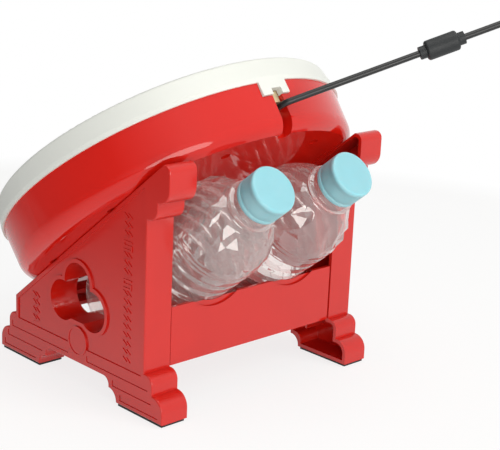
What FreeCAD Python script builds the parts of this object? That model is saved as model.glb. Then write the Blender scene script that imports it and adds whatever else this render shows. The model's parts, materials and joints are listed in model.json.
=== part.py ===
"""Drum-shaped game controller on its sloping stand, with two bottles in it as ballast.

Frame: +Z up, origin on the floor under the middle of the product, the player sits at -Y.
+X is the player's right. The drum lifts off the stand square to its sloping seat.
"""
import FreeCAD, Part
import math
import os
import re
import Sketcher

# Driving sizes in millimetres and degrees.
SIZES = {
    # Stand: two side frames, seen from the side as a sloping gable on two scroll feet.
    "stand_rear": 63.5,          # from the origin back to the rear posts' rear faces
    "stand_depth": 133.0,        # rear face to front face of a side frame
    "post_width": 19.8,          # thickness of a side frame, across the stand
    "frame_wall": 2.4,
    "front_height": 41.7,        # floor to the top of the front face
    "tilt": 38.5,                # slope of the seat
    "foot_height": 29.2,         # floor to the top of the feet
    "toe_height": 17.3,
    "toe_reach": 17.0,           # toe beyond the posts
    "toe_round": 8.9,
    "instep_reach": 7.6,
    "instep_round": 6.0,
    "heel_reach": 26.5,          # foot's inner edge from the post's face
    "heel_height": 9.3,
    "heel_round": 7.0,
    "heel_step": 7.5,
    "belly_height": 15.6,
    "belly_round": 5.0,
    "ear_height": 122.9,         # floor to the underside of the ear behind the rear post
    "ear_low_reach": 9.0,
    "ear_low_round": 7.5,
    "ear_low_rise": 11.6,
    "ear_reach": 19.0,
    "ear_round": 9.0,
    "ear_flat": 13.0,
    "ear_top_round": 4.5,
    "panel_recess": 0.7,         # depth of the sunk panel on a frame's outer face
    "panel_border": 3.0,
    "panel_foot": 26.5,
    "port_radius": 13.0,         # one lobe of the three-lobed port
    "port_wall": 2.5,
    "port_lip": 0.4,
    "port_middle": 65.5,         # rear face to the middle of the port
    "port_low": 53.0,            # floor to the two lower lobes
    "port_spread": 14.7,         # lower lobes either side of the middle
    "port_high": 67.5,
    "port_sill": 43.0,           # floor to the sill between the lower lobes
    "port_sill_half": 6.5,
    "disc_radius": 9.6,          # plain roundel under the port
    "disc_height": 29.8,
    "disc_rim": 1.2,
    "rib": 1.8,
    "edge_round": 0.8,           # outer edges of a side frame
    "zigzag_line": 1.0,          # raised zigzags and square frets in the sunk panel
    "zigzag_reach": 3.6,
    "zigzag_gap": 3.4,
    "zigzag_pitch": 5.2,
    "zigzag_rise": 0.45,
    "zigzag_foot": 28.8,         # floor to the lowest zigzag
    "zigzag_rear": 21.5,         # rear column, from the rear face
    "zigzag_front": 18.5,        # front column, from the front face
    "fret_height": 6.0,
    "groove_line": 0.9,          # lines cut in the feet
    "groove_depth": 0.5,
    "groove_tick": 3.0,
    "groove_inset": 4.0,
    "groove_low": 4.3,
    "groove_middle": 11.5,
    "groove_high": 19.0,
    "peg_radius": 4.0,           # pegs on the slope that locate the drum
    "peg_height": 5.0,
    "peg_spread": 45.0,
    "peg_play": 0.35,
    "pad_height": 1.8,           # rubber foot pads
    "pad_inset": 1.2,
    # Ballast bottles.
    "bottle_radius": 32.4,
    "bottle_length": 168.3,      # base to the lip
    "bottle_wall": 0.8,
    "bottle_run": 32.8,          # base, along the slope from the front of the seat
    "bottle_headroom": 0.5,      # to the bay in the drum's underside
    "bottle_half_gap": 0.8,
    "bottle_side_room": 3.35,
    "bottle_play": 0.3,
    "bottle_heel": 7.0,
    "bottle_foot_radius": 24.0,
    "bottle_dimple": 5.0,
    "rib_first": 18.0,           # waist ribs moulded round the bottle
    "rib_pitch": 14.0,
    "rib_depth": 1.3,
    "rib_half": 3.0,
    "shoulder_height": 112.0,
    "shoulder_round": 26.0,
    "neck_height": 146.5,
    "neck_radius": 13.5,
    "collar_radius": 16.5,
    "collar_height": 2.0,
    "neck_root": 0.5,
    "neck_run": 4.0,
    "neck_round": 3.0,
    "shoulder_drop": 10.0,
    "cap_radius": 15.0,
    "cap_height": 16.3,
    "cap_top": 1.5,
    "cap_play": 0.3,
    "cap_round": 1.5,
    "cap_lift": 0.2,
    # Cradle that carries the bottles.
    "cradle_wall": 2.5,
    "trough_wall": 3.5,
    "deck_depth": 31.7,          # bottle axis to the deck's upper side
    "stop_height": 34.0,
    "rear_panel_inset": 0.6,
    "rear_panel_top": 66.0,
    "flange_wall": 2.5,
    "flange_margin": 7.0,        # flange beyond its screw
    "flange_height": 22.0,
    "flange_length": 24.0,
    "rail_low": 30.0,
    "rail_depth": 14.0,
    # Screws of the stand.
    "screw_radius": 1.5,
    "screw_play": 0.05,
    "screw_hole_play": 0.6,
    "screw_head_radius": 2.8,
    "screw_head": 2.0,
    "screw_length": 12.0,
    "boss_radius": 4.2,
    "cradle_screw_inset": 12.0,
    "cradle_screw_height": 45.0,
    "deck_screw_inset": 41.0,
    "deck_screw_height": 28.0,
    "rail_screw_inset": 11.0,
    "rail_screw_height": 35.5,
    # Drum: red bowl, white rim, and the parts under the head.
    "drum_run": 91.7,            # drum's axis, along the slope from the front of the seat
    "drum_radius": 116.3,
    "drum_taper": 1.3,           # the bowl is this much narrower at its foot
    "drum_round": 11.0,
    "shell_height": 33.0,
    "shell_wall": 2.5,
    "spill": 1.0,                # how far a cut runs past what it cuts
    "shell_floor": 3.0,
    "bay_depth": 1.2,
    "rim_overhang": 1.2,         # rim beyond the bowl
    "rim_taper": 4.0,
    "rim_height": 17.0,
    "rim_wall": 3.0,
    "rim_draft": 0.6,
    "rim_boss_radius": 3.8,
    "rim_round": 3.0,
    "rim_flange": 3.0,
    "rim_band": 12.5,            # bowl's edge to the rim's opening
    "head_margin": 32.3,         # bowl's edge to the head
    "head_play": 0.4,
    "head_thickness": 8.0,
    "head_dome": 0.8,            # head's rounded edge
    "head_sink": 0.6,
    "travel": 1.0,
    "control_half_angle": 50.0,
    "deck_height": 36.0,         # internal deck above the drum's underside
    "deck_plate": 2.5,
    "hoop_wall": 1.6,
    "deck_bore": 30.0,
    "foam": 1.3,
    "foam_width": 16.0,
    "foam_inset": 4.0,
    "edge_foam_width": 11.0,
    "edge_foam_inset": 2.0,
    "foam_end_angle": 4.0,
    "sensor_circle": 46.0,
    "sensor_radius": 13.5,
    "sensor_height": 0.6,
    "drum_screws": 8,
    "drum_screw_margin": 20.3,   # long screws that close the bowl, from its edge
    "drum_screw_sink": 10.0,
    "drum_screw_length": 20.0,
    "drum_boss_radius": 4.2,
    "drum_boss_top": 18.0,       # where the bowl's bosses meet the deck's
    "rim_screw_margin": 8.3,     # short screws that hold the rim on the deck
    "rim_screw_length": 10.0,
    # Controls round the far side of the head.
    "control_margin": 17.3,      # bowl's edge to the middle of the controls
    "pad_angle": 32.0,
    "cross_span": 18.0,
    "cross_arm": 6.2,
    "button_radius": 3.6,
    "button_offset": 6.6,
    "small_radius": 2.4,
    "small_first": 5.5,
    "small_step": 8.0,
    "button_proud": 1.4,
    "button_play": 0.25,
    "button_flange": 0.9,
    "button_flange_height": 1.6,
    "board_height": 40.0,
    "board_plate": 1.6,
    "membrane_plate": 1.4,
    "board_width": 22.0,
    "board_margin": 5.9,
    "board_end_angle": 6.0,
    "membrane_inset": 2.0,
    "board_play": 0.4,
    # Cable outlet at the far side.
    "tab_left": -6.0,
    "tab_right": 15.0,
    "tab_drop": 9.0,
    "tab_play": 0.2,
    "tab_thick": 3.4,
    "slot_left": 0.0,
    "slot_right": 7.5,
    "slot_drop": 5.0,
    "channel_depth": 12.3,
    "channel_wall": 4.0,
    "channel_block_angle": 7.5,
    "relief_play": 0.25,
    "relief_low": 13.6,
    "relief_shelf": 20.6,
    "relief_nose": 3.2,
    "relief_face": 8.6,
    "outlet_across": 4.4,        # cable's axis in the outlet
    "outlet_height": 17.37,
    "cable_radius": 2.0,
    "cable_bore_play": 0.05,
    "ferrite_start": 87.0,
    "ferrite_length": 28.0,
    "ferrite_radius": 6.0,
    "ferrite_collar": 4.0,
    "ferrite_collar_radius": 3.9,
    "plug_length": 24.0,
    "plug_width": 15.0,
    "plug_height": 8.0,
    "plug_shell_length": 12.0,
    "plug_shell_width": 12.0,
    "plug_shell_height": 4.5,
    "plug_shell_wall": 0.4,
}

# Cable's centre line from the outlet: straight out, one bend, then the taut straight run.
CABLE_ROUTE = [
    (0.00, 0.00, 0.00),
    (0.00, 9.11, 7.25),
    (-110.38, 94.15, 62.80),
]

# Sizes that follow from the driving ones.
HALF_SPACING = "(bottle_radius + bottle_half_gap)"
HALF_INNER = "(2 * bottle_radius + bottle_half_gap + bottle_side_room)"
HALF_WIDTH = "(2 * bottle_radius + bottle_half_gap + bottle_side_room + post_width)"
BOTTLE_DROP = "(bottle_radius + bottle_headroom - bay_depth)"
FRONT = "(0 - stand_depth)"
RIM_TOP = "(shell_height + rim_height)"
EAR_TOP = "(front_height + (stand_depth + ear_flat) * tan(tilt))"
DECK_TOP = "(deck_height + deck_plate)"
FOLLOWING = {
    "drum_foot_radius": "(drum_radius - drum_taper)",
    "rim_radius": "(drum_radius + rim_overhang)",
    "rim_top_radius": "(drum_radius + rim_overhang - rim_taper)",
    "rim_inner": "(drum_radius - rim_band)",
    "head_radius": "(drum_radius - head_margin)",
    "drum_screw_circle": "(drum_radius - drum_screw_margin)",
    "rim_screw_circle": "(drum_radius - rim_screw_margin)",
    "control_circle": "(drum_radius - control_margin)",
    "board_outer": "(drum_radius - board_margin)",
    "board_inner": "(drum_radius - board_margin - board_width)",
    "channel_back": "(drum_radius - channel_depth)",
}

doc = FreeCAD.newDocument("DrumController")
sheet = doc.addObject("Spreadsheet::Sheet", "Sizes")
for row, (alias, number) in enumerate(SIZES.items(), start=1):
    sheet.set("A%d" % row, str(number))
    sheet.setAlias("A%d" % row, alias)
doc.recompute()

NODES = []


def linked(text):
    """Expression text with each size name pointing into the sheet."""
    def swapped(match):
        word = match.group(0)
        if word in FOLLOWING:
            return linked(FOLLOWING[word])
        return "Sizes." + word if word in SIZES else word

    return re.sub(r"[a-z_]\w*", swapped, text)


def size(text):
    """Number that an expression of size names gives."""
    return float(sheet.evalExpression(linked(text)))


def bind(item, **texts):
    for name, text in texts.items():
        item.setExpression(name, linked(text))


# Where each family of parts stands: offset along Y, offset along Z, turn about X.
STAND = ("stand_rear", "0", "0")
DRUM = (
    "stand_rear - stand_depth + drum_run * cos(tilt)",
    "front_height + drum_run * sin(tilt)",
    "tilt",
)
BOTTLE = (
    "stand_rear - stand_depth + bottle_run * cos(tilt) + " + BOTTLE_DROP + " * sin(tilt)",
    "front_height + bottle_run * sin(tilt) - " + BOTTLE_DROP + " * cos(tilt)",
    "tilt - 90",
)


def place(item, where, x="0", y="0", z="0"):
    """Puts an object at x, y, z of one of the frames above and turns it with that frame."""
    lift, rise, turn = where
    angle = size(turn)
    item.Placement = FreeCAD.Placement(FreeCAD.Vector(), FreeCAD.Rotation(FreeCAD.Vector(1, 0, 0), angle or 1.0))
    item.setExpression("Placement.Base.x", linked(x))
    item.setExpression(
        "Placement.Base.y", linked("%s + (%s) * cos(%s) - (%s) * sin(%s)" % (lift, y, turn, z, turn))
    )
    item.setExpression(
        "Placement.Base.z", linked("%s + (%s) * sin(%s) + (%s) * cos(%s)" % (rise, y, turn, z, turn))
    )
    item.setExpression("Placement.Rotation.Angle", linked(turn))
    return item


def body(name, where):
    return place(doc.addObject("PartDesign::Body", name), where)


def sketch(owner, plane, offset="0"):
    """Sketch on one of the body's own planes, moved along that plane's normal."""
    made = owner.newObject("Sketcher::SketchObject", "Sketch")
    made.AttachmentSupport = [(item, "") for item in owner.Origin.OriginFeatures if item.Role == plane]
    made.MapMode = "FlatFace"
    made.setExpression("AttachmentOffset.Base.z", linked(offset))
    return made


def constrain(made, pairs):
    """Adds constraints together, then ties the ones that carry an expression."""
    first = made.ConstraintCount
    made.addConstraint([constraint for constraint, text in pairs])
    for index, (constraint, text) in enumerate(pairs):
        if text:
            made.setExpression("Constraints[%d]" % (first + index), linked(text))


def at(geometry, end, corner):
    """Constraints that hold a point at a corner's two expressions."""
    return [
        (Sketcher.Constraint("DistanceX", -1, 1, geometry, end, size(corner[0])), corner[0]),
        (Sketcher.Constraint("DistanceY", -1, 1, geometry, end, size(corner[1])), corner[1]),
    ]


def rounding(corner, here, before, after):
    """Arc that rounds a corner: (arrive point, leave point, arc, whether it runs forward)."""
    radius = size(corner[2])
    towards, away = (before - here).normalize(), (after - here).normalize()
    half = towards.getAngle(away) / 2
    arrive, leave = here + towards * (radius / math.tan(half)), here + away * (radius / math.tan(half))
    centre = here + (towards + away).normalize() * (radius / math.sin(half))
    forward = towards.cross(away).z < 0
    start, stop = (arrive, leave) if forward else (leave, arrive)
    angles = [math.atan2(point.y - centre.y, point.x - centre.x) for point in (start, stop)]
    circle = Part.Circle(centre, FreeCAD.Vector(0, 0, 1), radius)
    return arrive, leave, Part.ArcOfCircle(circle, angles[0], angles[1]), forward


def outline(made, corners):
    """Closed outline through corners (x, y) or (x, y, radius), each given as an expression."""
    count = len(corners)
    points = [FreeCAD.Vector(size(corner[0]), size(corner[1]), 0) for corner in corners]
    rounds = {}
    for index, corner in enumerate(corners):
        if len(corner) == 3:
            rounds[index] = rounding(corner, points[index], points[index - 1], points[(index + 1) % count])
    first = made.GeometryCount
    for index in range(count):
        following = (index + 1) % count
        start = rounds[index][1] if index in rounds else points[index]
        stop = rounds[following][0] if following in rounds else points[following]
        made.addGeometry(Part.LineSegment(start, stop), False)
    pairs = []
    for index, corner in enumerate(corners):
        line, previous = first + index, first + (index - 1) % count
        if index not in rounds:
            pairs.append((Sketcher.Constraint("Coincident", previous, 2, line, 1), ""))
            pairs += at(line, 1, corner)
            continue
        arrive, leave, arc, forward = rounds[index]
        curve = made.addGeometry(arc, False)
        mark = made.addGeometry(Part.Point(points[index]), True)
        ends = (1, 2) if forward else (2, 1)
        pairs += at(mark, 1, corner)
        pairs.append((Sketcher.Constraint("PointOnObject", mark, 1, previous), ""))
        pairs.append((Sketcher.Constraint("PointOnObject", mark, 1, line), ""))
        pairs.append((Sketcher.Constraint("Tangent", previous, 2, curve, ends[0]), ""))
        pairs.append((Sketcher.Constraint("Tangent", curve, ends[1], line, 1), ""))
        pairs.append((Sketcher.Constraint("Radius", curve, size(corner[2])), corner[2]))
    constrain(made, pairs)
    return made


def circle(made, x, y, radius):
    index = made.addGeometry(
        Part.Circle(FreeCAD.Vector(size(x), size(y), 0), FreeCAD.Vector(0, 0, 1), size(radius)), False
    )
    constrain(made, at(index, 3, (x, y)) + [(Sketcher.Constraint("Radius", index, size(radius)), radius)])
    return made


def feature(owner, kind, made, length, reverse=False):
    """Pad or Pocket of a sketch; reverse flips the way it runs."""
    result = owner.newObject("PartDesign::" + kind, kind)
    result.Profile = made
    result.setExpression("Length", linked(length))
    result.Reversed = reverse
    return result


def pad(owner, made, length, reverse=False):
    """Adds material along the sketch's normal."""
    return feature(owner, "Pad", made, length, reverse)


def pocket(owner, made, length, reverse=True):
    """Cuts along the sketch's normal; reverse=False cuts against it."""
    return feature(owner, "Pocket", made, length, reverse)


def turned(owner, kind, made, angle="360", middle=False):
    """Revolution or Groove about the body's own Z axis."""
    result = owner.newObject("PartDesign::" + kind, kind)
    result.Profile = made
    result.ReferenceAxis = (made, ["V_Axis"])
    result.setExpression("Angle", linked(angle))
    result.Midplane = middle
    return result


def ring_pattern(owner, originals, count):
    """Repeats features round the body's own Z axis."""
    result = owner.newObject("PartDesign::PolarPattern", "PolarPattern")
    result.Originals = originals
    result.Axis = ([item for item in owner.Origin.OriginFeatures if item.Role == "Z_Axis"][0], [""])
    result.Angle = 360
    result.setExpression("Occurrences", linked(count))
    owner.Tip = result
    return result


def upright_pattern(owner, original, count):
    """Repeats a feature up the body's own Z axis, one zigzag pitch apart."""
    result = owner.newObject("PartDesign::LinearPattern", "LinearPattern")
    result.Originals = [original]
    result.Direction = ([item for item in owner.Origin.OriginFeatures if item.Role == "Z_Axis"][0], [""])
    result.setExpression("Length", linked("%d * zigzag_pitch" % (count - 1)))
    result.Occurrences = count
    owner.Tip = result
    return result


def rounded(owner, made, radius, chosen):
    """Fillet along the edges of a feature that a test picks out."""
    doc.recompute()
    edges = ["Edge%d" % number for number, edge in enumerate(made.Shape.Edges, start=1) if chosen(edge)]
    result = owner.newObject("PartDesign::Fillet", "Fillet")
    result.Base = (made, edges)
    result.setExpression("Radius", linked(radius))
    owner.Tip = result
    return result


def primitive(kind, where, x="0", y="0", z="0", **texts):
    made = doc.addObject("Part::" + kind, kind)
    bind(made, **texts)
    return place(made, where, x, y, z)


def combined(kind, pieces, name="Combined"):
    """MultiFuse of several pieces, or Cut and Common of two."""
    made = doc.addObject("Part::" + kind, name)
    if kind in ("MultiFuse", "MultiCommon", "Compound"):
        setattr(made, "Links" if kind == "Compound" else "Shapes", pieces)
    else:
        made.Base, made.Tool = pieces
    return made


def mirrored(source):
    made = doc.addObject("Part::Mirroring", "Mirrored")
    made.Source = source
    made.Normal = (1, 0, 0)
    return made


def node(item, name):
    item.Label = name
    NODES.append(item)
    return item


# ---------------------------------------------------------------- stand


def rear(text):
    return text


def front(text):
    """Mirror image of a rear Y expression, for the front foot."""
    return "0 - stand_depth - (%s)" % text


def foot_corners(side, wall="0"):
    """Toe to ankle of one foot; wall moves the outline inwards for the hollow."""
    corners = [
        ("toe_reach - " + wall, "pad_height + " + wall),
        ("toe_reach - " + wall, "toe_height - " + wall, "toe_round - " + wall),
        ("instep_reach - " + wall, "toe_height - " + wall),
        ("instep_reach - " + wall, "foot_height - " + wall, "instep_round - " + wall),
        ("0 - " + wall, "foot_height - " + wall),
    ]
    return [(side(corner[0]),) + corner[1:] for corner in corners]


def heel_corners(side, wall="0"):
    """Heel to belly of one foot."""
    corners = [
        ("0 - heel_reach + " + wall, "pad_height + " + wall),
        ("0 - heel_reach + " + wall, "heel_height + " + wall, "heel_round - 0.6 * " + wall),
        ("0 - heel_reach - heel_step + " + wall, "heel_height + " + wall),
        ("0 - heel_reach - heel_step + " + wall, "belly_height + " + wall, "belly_round - 0.4 * " + wall),
    ]
    return [(side(corner[0]),) + corner[1:] for corner in corners]


def frame_corners(wall="0"):
    """Side view of a frame, from the rear toe up, down the slope and back along the floor."""
    ear = [
        ("0 - " + wall, "ear_height + " + wall),
        ("ear_low_reach - " + wall, "ear_height + " + wall, "ear_low_round - " + wall),
        ("ear_low_reach - " + wall, "ear_height + ear_low_rise + " + wall),
        ("ear_reach - " + wall, "ear_height + ear_low_rise + " + wall, "ear_round - " + wall),
        ("ear_reach - " + wall, EAR_TOP + " - " + wall, "ear_top_round - " + wall),
        ("ear_flat - %s * tan(tilt / 2)" % wall, EAR_TOP + " - " + wall),
        (FRONT + " + " + wall, "front_height + %s * (tan(tilt) - 1 / cos(tilt))" % wall),
    ]
    return (
        foot_corners(rear, wall)
        + ear
        + foot_corners(front, wall)[::-1]
        + heel_corners(front, wall)
        + heel_corners(rear, wall)[::-1]
    )


PORT_LOBES = [
    ("0 - port_middle - port_spread", "port_low"),
    ("0 - port_middle + port_spread", "port_low"),
    ("0 - port_middle", "port_high"),
]
PORT_CORE = [
    ("0 - port_middle - port_spread", "port_low"),
    ("0 - port_middle - port_sill_half", "port_sill"),
    ("0 - port_middle + port_sill_half", "port_sill"),
    ("0 - port_middle + port_spread", "port_low"),
    ("0 - port_middle", "port_high"),
]
PORT_CORE_WALL = [
    PORT_CORE[0],
    ("0 - port_middle - port_sill_half - port_wall / 2", "port_sill - port_wall"),
    ("0 - port_middle + port_sill_half + port_wall / 2", "port_sill - port_wall"),
    PORT_CORE[3],
    PORT_CORE[4],
]
STAND_SCREWS = [
    ("0 - cradle_screw_inset", "cradle_screw_height"),
    (FRONT + " + deck_screw_inset", "deck_screw_height"),
    (FRONT + " + rail_screw_inset", "rail_screw_height"),
]


def port(frame, kind, offset, length, grow="0", core=None):
    """One step of the three-lobed port, lobe by lobe and then the web between the lobes."""
    for y, z in PORT_LOBES:
        lobe = circle(sketch(frame, "YZ_Plane", offset), y, z, "port_radius + " + grow)
        feature(frame, kind, lobe, length, reverse=(kind == "Pocket"))
    web = outline(sketch(frame, "YZ_Plane", offset), core or PORT_CORE)
    feature(frame, kind, web, length, reverse=(kind == "Pocket"))


def ribs(frame):
    """Upright ribs behind each post and one slanting rib over the belly."""
    inner, deep = HALF_INNER, "post_width - frame_wall"
    for near in ("0 - post_width", FRONT + " + post_width"):
        upright = outline(sketch(frame, "YZ_Plane", inner), [
            (near + " - rib / 2", "belly_height + frame_wall / 2"),
            (near + " + rib / 2", "belly_height + frame_wall / 2"),
            (near + " + rib / 2", "front_height + (stand_depth + (%s)) * tan(tilt) - frame_wall" % near),
            (near + " - rib / 2", "front_height + (stand_depth + (%s)) * tan(tilt) - frame_wall" % near),
        ])
        pad(frame, upright, deep)


def zigzag_column(frame, start, foot, count):
    """Column of double chevrons that runs up the sunk panel."""
    chevrons = sketch(frame, "YZ_Plane", HALF_WIDTH + " - panel_recess - frame_wall / 4")
    for shift in ("0", "zigzag_gap"):
        left, right = "%s + %s" % (start, shift), "%s + %s + zigzag_line" % (start, shift)
        outline(chevrons, [
            (left, foot),
            (right, foot),
            (right + " + zigzag_reach", foot + " + zigzag_pitch / 2"),
            (right, foot + " + zigzag_pitch"),
            (left, foot + " + zigzag_pitch"),
            (left + " + zigzag_reach", foot + " + zigzag_pitch / 2"),
        ])
    upright_pattern(frame, pad(frame, chevrons, "frame_wall / 4 + zigzag_rise"), count)


def square_fret(frame, start, foot):
    """Square meander between two lengths of a zigzag column."""
    wide, tall, line = "(zigzag_line + zigzag_gap + zigzag_reach)", "fret_height", "zigzag_line"
    middle = "(fret_height - zigzag_line) / 2"
    steps = [
        ("0", "0"), (wide, "0"), (wide, middle + " + " + line), (line, middle + " + " + line),
        (line, tall + " - " + line), (wide, tall + " - " + line), (wide, tall), ("0", tall), ("0", middle),
        (wide + " - " + line, middle), (wide + " - " + line, line), ("0", line),
    ]
    meander = outline(
        sketch(frame, "YZ_Plane", HALF_WIDTH + " - panel_recess - frame_wall / 4"),
        [("%s + %s" % (start, y), "%s + %s" % (foot, z)) for y, z in steps],
    )
    pad(frame, meander, "frame_wall / 4 + zigzag_rise")


def relief(frame):
    """Rear column of zigzags and frets, and a short front column."""
    start, foot = "0 - zigzag_rear", "zigzag_foot"
    for count, fret in ((9, True), (3, True), (3, False)):
        zigzag_column(frame, start, foot, count)
        foot += " + %d * zigzag_pitch + zigzag_line" % count
        if fret:
            square_fret(frame, start, foot)
            foot += " + fret_height + zigzag_line"
    zigzag_column(frame, FRONT + " + zigzag_front", "zigzag_foot", 4)


def foot_grooves(frame):
    """Fine lines cut in the outer face of the feet, each with a tick up at its front end."""
    inset = "groove_inset"
    lines = [
        ("groove_low", FRONT + " - toe_reach + " + inset, FRONT + " + heel_reach - " + inset),
        ("groove_low", "0 - heel_reach + " + inset, "toe_reach - " + inset),
        ("groove_middle", FRONT + " - toe_reach + 2 * " + inset, FRONT + " + heel_reach + heel_step - " + inset),
        ("groove_middle", "0 - heel_reach - heel_step + " + inset, "toe_reach - 2.5 * " + inset),
        ("groove_high", FRONT + " - " + inset, "0 - port_middle - disc_radius"),
        ("groove_high", "0 - port_middle + disc_radius", "instep_reach - " + inset),
    ]
    for height, start, stop in lines:
        top, side = height + " + groove_line", start + " + groove_line"
        tick = height + " + groove_line + groove_tick"
        cut = outline(sketch(frame, "YZ_Plane", HALF_WIDTH + " - groove_depth"), [
            (start, height), (stop, height), (stop, top), (side, top), (side, tick), (start, tick),
        ])
        pocket(frame, cut, "2 * groove_depth")


def side_frame():
    """One side frame: an open-backed moulding with a sunk panel, a port, ribs and screw bosses."""
    frame = body("RightFrame", STAND)
    block = pad(frame, outline(sketch(frame, "YZ_Plane", HALF_INNER), frame_corners()), "post_width")
    rounded(frame, block, "edge_round", lambda edge: edge.BoundBox.XMin > size(HALF_WIDTH) - 0.01)
    hollow = outline(sketch(frame, "YZ_Plane", HALF_INNER), frame_corners("frame_wall"))
    pocket(frame, hollow, "post_width - frame_wall")
    ribs(frame)
    for y, z in STAND_SCREWS:
        pad(frame, circle(sketch(frame, "YZ_Plane", HALF_INNER), y, z, "boss_radius"), "post_width - frame_wall / 2")
    port(frame, "Pad", HALF_INNER, "post_width - frame_wall / 2", "port_wall", PORT_CORE_WALL)
    border = "panel_border"
    sunk = outline(sketch(frame, "YZ_Plane", HALF_WIDTH + " - panel_recess"), [
        (FRONT + " + " + border, "panel_foot"),
        ("0 - " + border, "panel_foot"),
        ("0 - " + border, "front_height + (stand_depth - %s) * tan(tilt) - %s / cos(tilt)" % (border, border)),
        (FRONT + " + " + border, "front_height + %s * tan(tilt) - %s / cos(tilt)" % (border, border)),
    ])
    pocket(frame, sunk, "panel_recess")
    face = HALF_WIDTH + " - panel_recess - frame_wall / 2"
    port(frame, "Pad", face, "panel_recess + frame_wall / 2 + port_lip", "port_wall", PORT_CORE_WALL)
    disc = circle(sketch(frame, "YZ_Plane", face), "0 - port_middle", "disc_height", "disc_radius")
    pad(frame, disc, "panel_recess + frame_wall / 2 + port_lip")
    dish = circle(
        sketch(frame, "YZ_Plane", HALF_WIDTH), "0 - port_middle", "disc_height", "disc_radius - disc_rim"
    )
    pocket(frame, dish, "port_lip")
    relief(frame)
    foot_grooves(frame)
    port(frame, "Pocket", HALF_INNER + " - port_lip", "post_width + 3 * port_lip")
    for y, z in STAND_SCREWS:
        pilot = circle(sketch(frame, "YZ_Plane", HALF_INNER), y, z, "screw_radius + screw_play")
        pocket(frame, pilot, "screw_length - flange_wall + screw_head")
    return frame


def side_frames():
    """Both side frames, with the pegs on their slopes that hold the drum."""
    pegs = [
        primitive(
            "Cylinder", DRUM, HALF_INNER + " + post_width / 2", "%s * peg_spread" % way, "0 - frame_wall / 2",
            Radius="peg_radius", Height="peg_height + frame_wall / 2",
        )
        for way in ("1", "(0 - 1)")
    ]
    right = node(combined("MultiFuse", [side_frame()] + pegs), "side_frame_right")
    node(mirrored(right), "side_frame_left")


def foot_pads():
    """Rubber pads under the four feet."""
    length = "toe_reach + heel_reach - 2 * pad_inset"
    for name, start in (("rear", "0 - heel_reach + pad_inset"), ("front", FRONT + " - toe_reach + pad_inset")):
        right = primitive(
            "Box", STAND, HALF_INNER + " + pad_inset", start, "0",
            Length="post_width - 2 * pad_inset", Width=length, Height="pad_height",
        )
        node(right, "foot_pad_%s_right" % name)
        node(mirrored(right), "foot_pad_%s_left" % name)


def across(where, y, z, width, height, half=HALF_INNER):
    """Box that spans the stand between the side frames."""
    return primitive(
        "Box", where, "0 - " + half, y, z, Length="2 * " + half, Width=width, Height=height
    )


def trough_cylinder(side, radius, start, length):
    return primitive(
        "Cylinder", BOTTLE, "%s * %s" % (side, HALF_SPACING), "0", start, Radius=radius, Height=length
    )


def flange(side, y, z, width, height):
    """Upright ear that a screw passes through into a side frame's boss."""
    x = HALF_INNER + " - flange_wall" if side == "1" else "0 - " + HALF_INNER
    return primitive("Box", STAND, x, y, z, Length="flange_wall", Width=width, Height=height)


def screw_holes(spots):
    """Clearance holes right through, one bar for each spot."""
    holes = []
    for y, z in spots:
        hole = doc.addObject("Part::Cylinder", "Hole")
        bind(hole, Radius="screw_radius + screw_hole_play", Height="2 * " + HALF_INNER + " + 2")
        hole.Placement = FreeCAD.Placement(
            FreeCAD.Vector(-size(HALF_INNER) - 1, size("stand_rear + " + y), size(z)),
            FreeCAD.Rotation(FreeCAD.Vector(0, 1, 0), 90),
        )
        hole.setExpression("Placement.Base.x", linked("0 - " + HALF_INNER + " - 1"))
        hole.setExpression("Placement.Base.y", linked("stand_rear + " + y))
        holes.append(hole)
    return holes


def bottle_cradle():
    """Rear panel with two scallops, sloping deck with two troughs, and the stop the bottles stand on."""
    reach = "bottle_length"
    stop = "(bottle_play + cradle_wall)"
    trough = "bottle_radius + bottle_play + trough_wall"
    below = "deck_depth"
    deck = across(BOTTLE, below, "0 - " + stop, "cradle_wall", reach)
    bank = across(BOTTLE, below, "0 - " + stop, trough, reach)
    outers = [trough_cylinder(side, trough, "0 - " + stop, reach) for side in ("1", "(0 - 1)")]
    gutters = combined("Common", [combined("MultiFuse", outers), bank])
    end = across(BOTTLE, "deck_depth + cradle_wall - stop_height", "0 - " + stop, "stop_height", "cradle_wall")
    rear_face = "0 - rear_panel_inset"
    room = across(STAND, FRONT, "0", "stand_depth - rear_panel_inset - cradle_wall / 2", "rear_panel_top + post_width")
    tray = combined("Common", [combined("MultiFuse", [deck, gutters, end]), room])
    panel = across(
        STAND, rear_face + " - cradle_wall", "foot_height", "cradle_wall", "rear_panel_top - foot_height"
    )
    scallops = [trough_cylinder(side, trough, "0 - " + stop, reach) for side in ("1", "(0 - 1)")]
    scalloped = combined("Cut", [panel, combined("MultiFuse", scallops)])
    ears = []
    for side in ("1", "0 - 1"):
        ears.append(flange(
            side, rear_face + " - post_width", "cradle_screw_height - flange_margin",
            "post_width - cradle_wall / 2", "flange_height",
        ))
        ears.append(flange(
            side, FRONT + " + deck_screw_inset - flange_margin", "deck_screw_height - flange_margin",
            "flange_length", "2 * flange_margin",
        ))
    whole = combined("MultiFuse", [tray, scalloped] + ears)
    bottles = [
        trough_cylinder(side, "bottle_radius + bottle_play", "0 - bottle_play", "2 * " + reach)
        for side in ("1", "(0 - 1)")
    ]
    node(combined("Cut", [whole, combined("MultiFuse", bottles + screw_holes(STAND_SCREWS[:2]))]), "bottle_cradle")


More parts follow.
